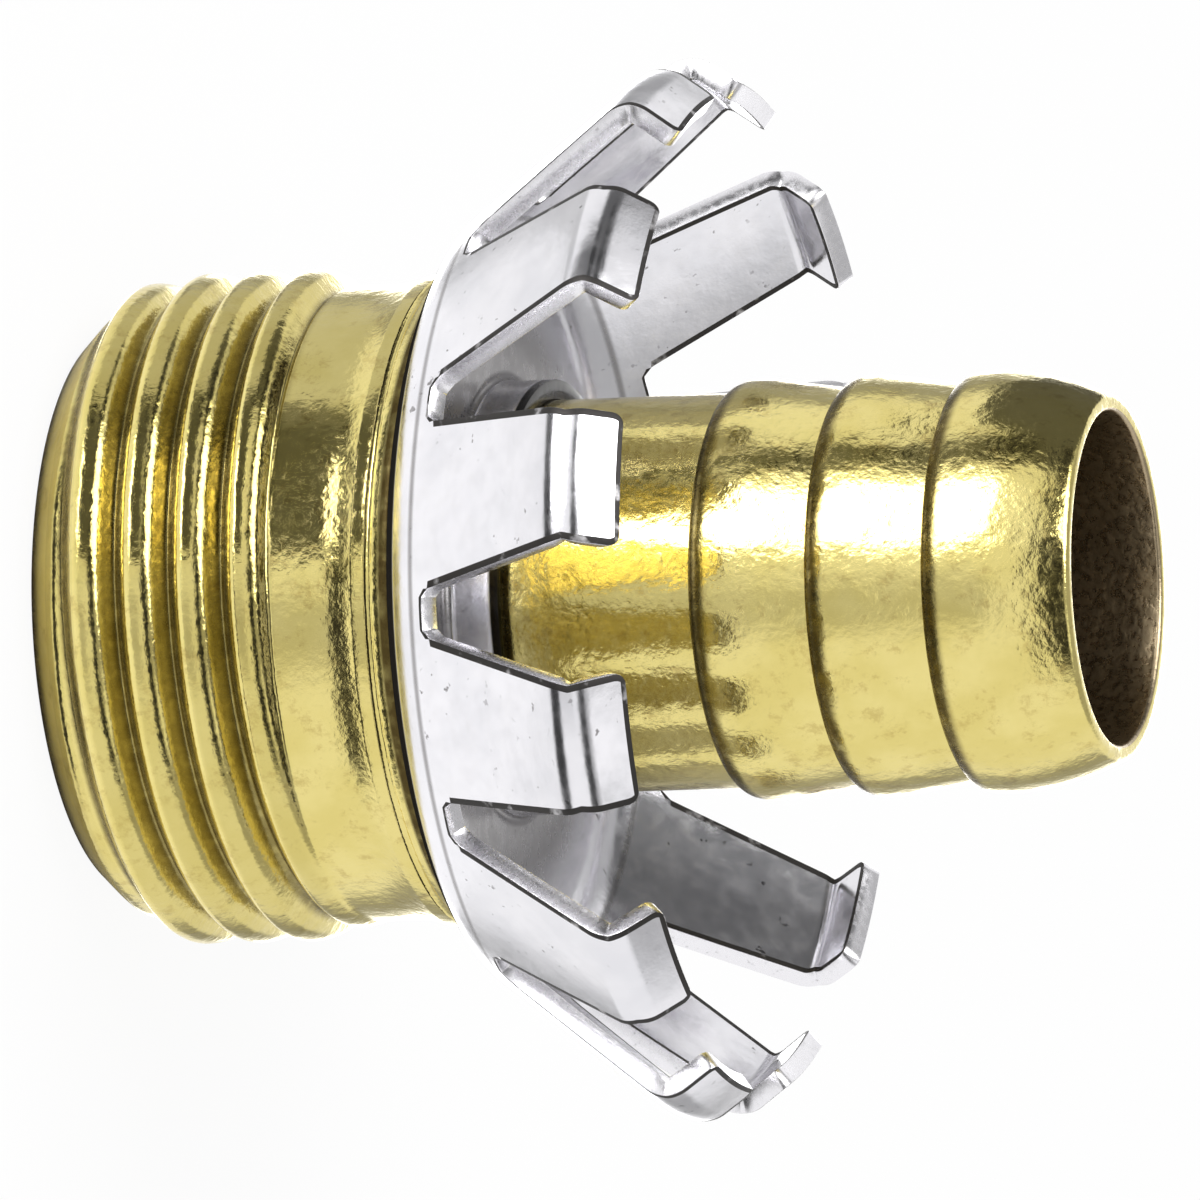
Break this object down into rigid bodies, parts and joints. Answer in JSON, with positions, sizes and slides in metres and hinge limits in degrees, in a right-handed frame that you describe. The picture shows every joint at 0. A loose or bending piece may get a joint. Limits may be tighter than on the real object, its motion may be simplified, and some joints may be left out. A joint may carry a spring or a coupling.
{
  "type": "male hose repair coupler",
  "caption": "Male garden hose repair coupler: brass body with hose thread, flange and barbed stem, and a steel clinch ring of hooked fingers.",
  "frame": {"origin": "centre of the threaded end face, on the axis of the waterway", "axes": "+Z runs along the waterway from the threaded end to the barbed end; a gap between two fingers faces -Y"},
  "size_m": [0.041, 0.041, 0.0415],
  "materials": {
    "brass": "tumbled bright brass",
    "zinc_plated_steel": "bright zinc plate"
  },
  "bodies": {
    "root": {"brass_body": "brass", "clinch_ring": "zinc_plated_steel"}
  },
  "joints": []
}
